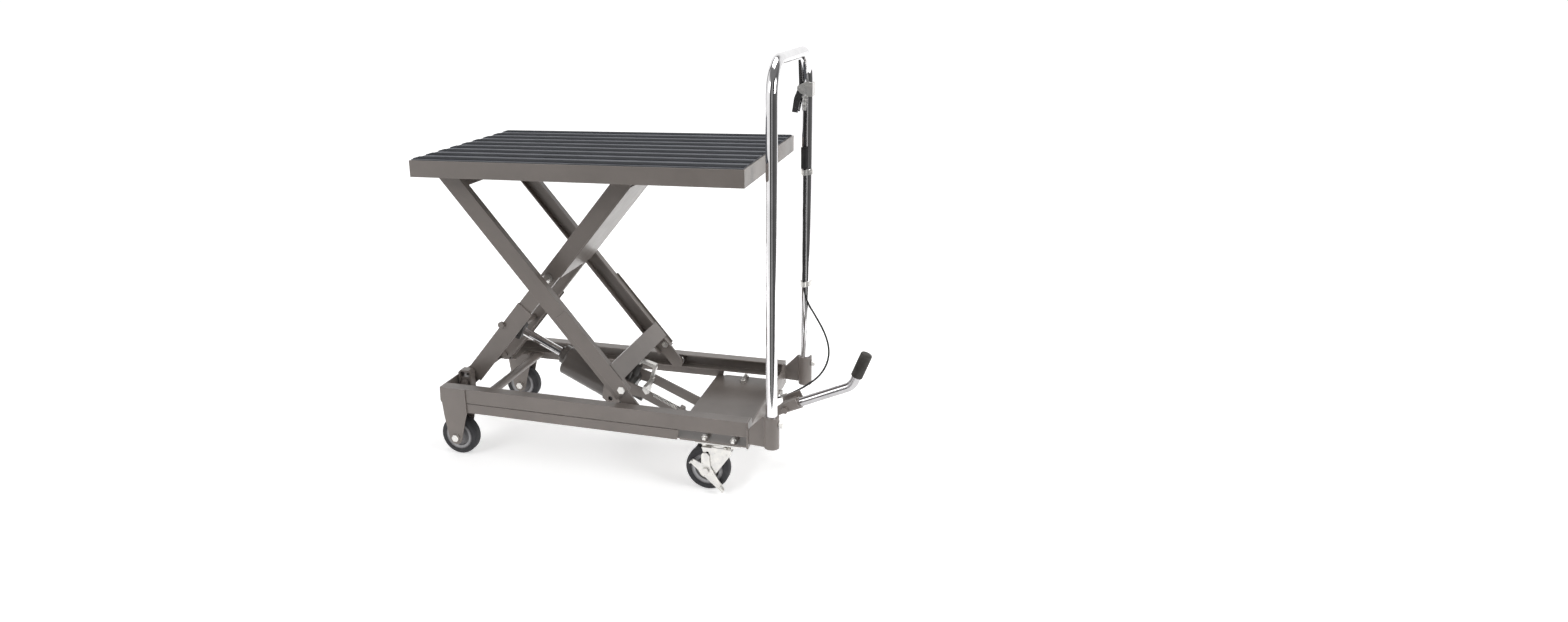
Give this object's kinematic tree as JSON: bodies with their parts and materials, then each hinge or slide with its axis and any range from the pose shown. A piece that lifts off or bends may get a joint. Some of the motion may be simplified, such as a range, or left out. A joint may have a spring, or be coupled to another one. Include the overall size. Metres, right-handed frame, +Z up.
{
  "type": "scissor lift table",
  "caption": "Hydraulic scissor lift table cart with ribbed mat, foot pump, push handle with release lever, fixed wheels and braked swivel casters.",
  "frame": {"origin": "centre of the bounding box on the floor", "axes": "+X towards the push handle, +Y across the table to the side with the release lever, +Z up"},
  "size_m": [1.0528, 0.5, 0.9927],
  "materials": {
    "paint": "satin powder coat, warm grey",
    "mat": "ribbed rubber, matt",
    "chrome": "polished",
    "tyre": "matt",
    "hub": "moulded",
    "zinc": "bright zinc plate",
    "grip": "ribbed rubber",
    "black": "moulded",
    "steel": "turned steel",
    "dark": "dark painted casting"
  },
  "bodies": {
    "root": {"base_rail_near": "paint", "base_rail_far": "paint", "left_cross_rail": "paint", "cross_tube": "paint", "deck_plate": "paint", "end_plate": "paint", "handle_socket_near": "paint", "handle_socket_far": "paint", "handle_bar": "chrome", "fixed_forks": "paint", "frame_bolts": "zinc", "arm_anchors": "paint", "unit_hanger": "paint", "pivot_shaft": "steel", "caster_plates": "zinc", "lever_collar": "zinc", "release_cable": "black", "cable_clips": "zinc", "cable_sleeve": "black", "cable_gland": "zinc"},
    "inner_arms": {"inner_arm_near": "paint", "inner_arm_far": "paint", "inner_tie_plate": "paint", "inner_arm_pins": "steel"},
    "outer_arms": {"outer_arm_near": "paint", "outer_arm_far": "paint", "roller_plates": "paint", "outer_arm_ties": "paint", "arm_bolts": "zinc"},
    "table": {"table_top": "paint", "table_mat": "mat", "table_tracks": "paint", "table_pivots": "paint"},
    "unit": {"cylinder_body": "paint", "pump_block": "dark", "unit_side_bars": "paint", "return_spring": "zinc", "release_cable_end": "black"},
    "valve": {"valve_lever": "zinc"},
    "rod": {"piston_rod": "chrome"},
    "pedal": {"pedal_yoke": "paint", "pedal_tube": "chrome", "pedal_grip": "grip"},
    "release": {"release_lever": "zinc"},
    "fixed_wheel_near": {"fixed_tyre_near": "tyre", "fixed_hub_near": "hub"},
    "caster_near": {"caster_fork_near": "zinc"},
    "caster_wheel_near": {"caster_tyre_near": "tyre", "caster_hub_near": "hub"},
    "brake_near": {"brake_lever_near": "zinc"},
    "top_roller_near": {"table_roller_near": "steel"},
    "low_roller_near": {"base_roller_near": "steel"},
    "fixed_wheel_far": {"fixed_tyre_far": "tyre", "fixed_hub_far": "hub"},
    "caster_far": {"caster_fork_far": "zinc"},
    "caster_wheel_far": {"caster_tyre_far": "tyre", "caster_hub_far": "hub"},
    "brake_far": {"brake_lever_far": "zinc"},
    "top_roller_far": {"table_roller_far": "steel"},
    "low_roller_far": {"base_roller_far": "steel"}
  },
  "joints": [
    {"name": "lift", "type": "hinge", "parent": "root", "child": "inner_arms", "pos_m": [-0.4864, 0, 0.165], "axis": [0, -1, 0], "range_deg": [-38.8, 2]},
    {"name": "scissor_centre", "type": "hinge", "parent": "inner_arms", "child": "outer_arms", "pos_m": [-0.2454, 0, 0.45498], "axis": [0, -1, 0], "range_deg": [-4.1, 77.7]},
    {"name": "table_pivot", "type": "hinge", "parent": "outer_arms", "child": "table", "pos_m": [-0.4864, 0, 0.74495], "axis": [0, -1, 0], "range_deg": [-38.9, 2.1]},
    {"name": "unit_swivel", "type": "hinge", "parent": "root", "child": "unit", "pos_m": [0.1616, 0, 0.082], "axis": [0, -1, 0], "range_deg": [-0.4, 5.7]},
    {"name": "rod_slide", "type": "slide", "parent": "unit", "child": "rod", "axis": [-0.9063, 0, 0.4226], "range_m": [-0.0828, 0.0045]},
    {"name": "pedal_press", "type": "hinge", "parent": "root", "child": "pedal", "pos_m": [0.1616, 0, 0.082], "axis": [0, 1, 0], "range_deg": [0, 25], "stiffness_Nm_per_rad": 14, "springref_deg": -22.92},
    {"name": "release_squeeze", "type": "hinge", "parent": "root", "child": "release", "pos_m": [0.3175, 0.195, 0.89], "axis": [0, -1, 0], "range_deg": [0, 8], "stiffness_Nm_per_rad": 0.6, "springref_deg": -17.19},
    {"name": "valve_turn", "type": "hinge", "parent": "unit", "child": "valve", "pos_m": [-0.0464, 0, 0.2225], "axis": [0, -1, 0], "range_deg": [0, 6.1], "stiffness_Nm_per_rad": 1, "springref_deg": -17.19},
    {"name": "fixed_spin_near", "type": "hinge", "parent": "root", "child": "fixed_wheel_near", "pos_m": [-0.4764, -0.178, 0.05], "axis": [0, 1, 0], "continuous": true},
    {"name": "caster_swivel_near", "type": "hinge", "parent": "root", "child": "caster_near", "pos_m": [0.2096, -0.178, 0.11], "axis": [0, 0, 1], "continuous": true},
    {"name": "caster_spin_near", "type": "hinge", "parent": "caster_near", "child": "caster_wheel_near", "pos_m": [0.1806, -0.178, 0.052], "axis": [0, 1, 0], "continuous": true},
    {"name": "brake_rock_near", "type": "hinge", "parent": "caster_near", "child": "brake_near", "pos_m": [0.1806, -0.178, 0.052], "axis": [0, -1, 0], "range_deg": [0, 14]},
    {"name": "top_roller_spin_near", "type": "hinge", "parent": "inner_arms", "child": "top_roller_near", "pos_m": [-0.0044, -0.1135, 0.74495], "axis": [0, 1, 0], "continuous": true},
    {"name": "low_roller_spin_near", "type": "hinge", "parent": "outer_arms", "child": "low_roller_near", "pos_m": [-0.0044, -0.186, 0.165], "axis": [0, 1, 0], "continuous": true},
    {"name": "fixed_spin_far", "type": "hinge", "parent": "root", "child": "fixed_wheel_far", "pos_m": [-0.4764, 0.178, 0.05], "axis": [0, 1, 0], "continuous": true},
    {"name": "caster_swivel_far", "type": "hinge", "parent": "root", "child": "caster_far", "pos_m": [0.2096, 0.178, 0.11], "axis": [0, 0, 1], "continuous": true},
    {"name": "caster_spin_far", "type": "hinge", "parent": "caster_far", "child": "caster_wheel_far", "pos_m": [0.1806, 0.178, 0.052], "axis": [0, 1, 0], "continuous": true},
    {"name": "brake_rock_far", "type": "hinge", "parent": "caster_far", "child": "brake_far", "pos_m": [0.1806, 0.178, 0.052], "axis": [0, -1, 0], "range_deg": [0, 14]},
    {"name": "top_roller_spin_far", "type": "hinge", "parent": "inner_arms", "child": "top_roller_far", "pos_m": [-0.0044, 0.1135, 0.74495], "axis": [0, 1, 0], "continuous": true},
    {"name": "low_roller_spin_far", "type": "hinge", "parent": "outer_arms", "child": "low_roller_far", "pos_m": [-0.0044, 0.186, 0.165], "axis": [0, 1, 0], "continuous": true}
  ],
  "couplings": [
    {"joint": "scissor_centre", "follows": "lift", "ratio": -2},
    {"joint": "table_pivot", "follows": "lift", "ratio": 1},
    {"joint": "unit_swivel", "follows": "lift", "ratio": -0.14245},
    {"joint": "rod_slide", "follows": "lift", "m_per_rad": 0.12167},
    {"joint": "valve_turn", "follows": "release_squeeze", "ratio": 0.75}
  ]
}
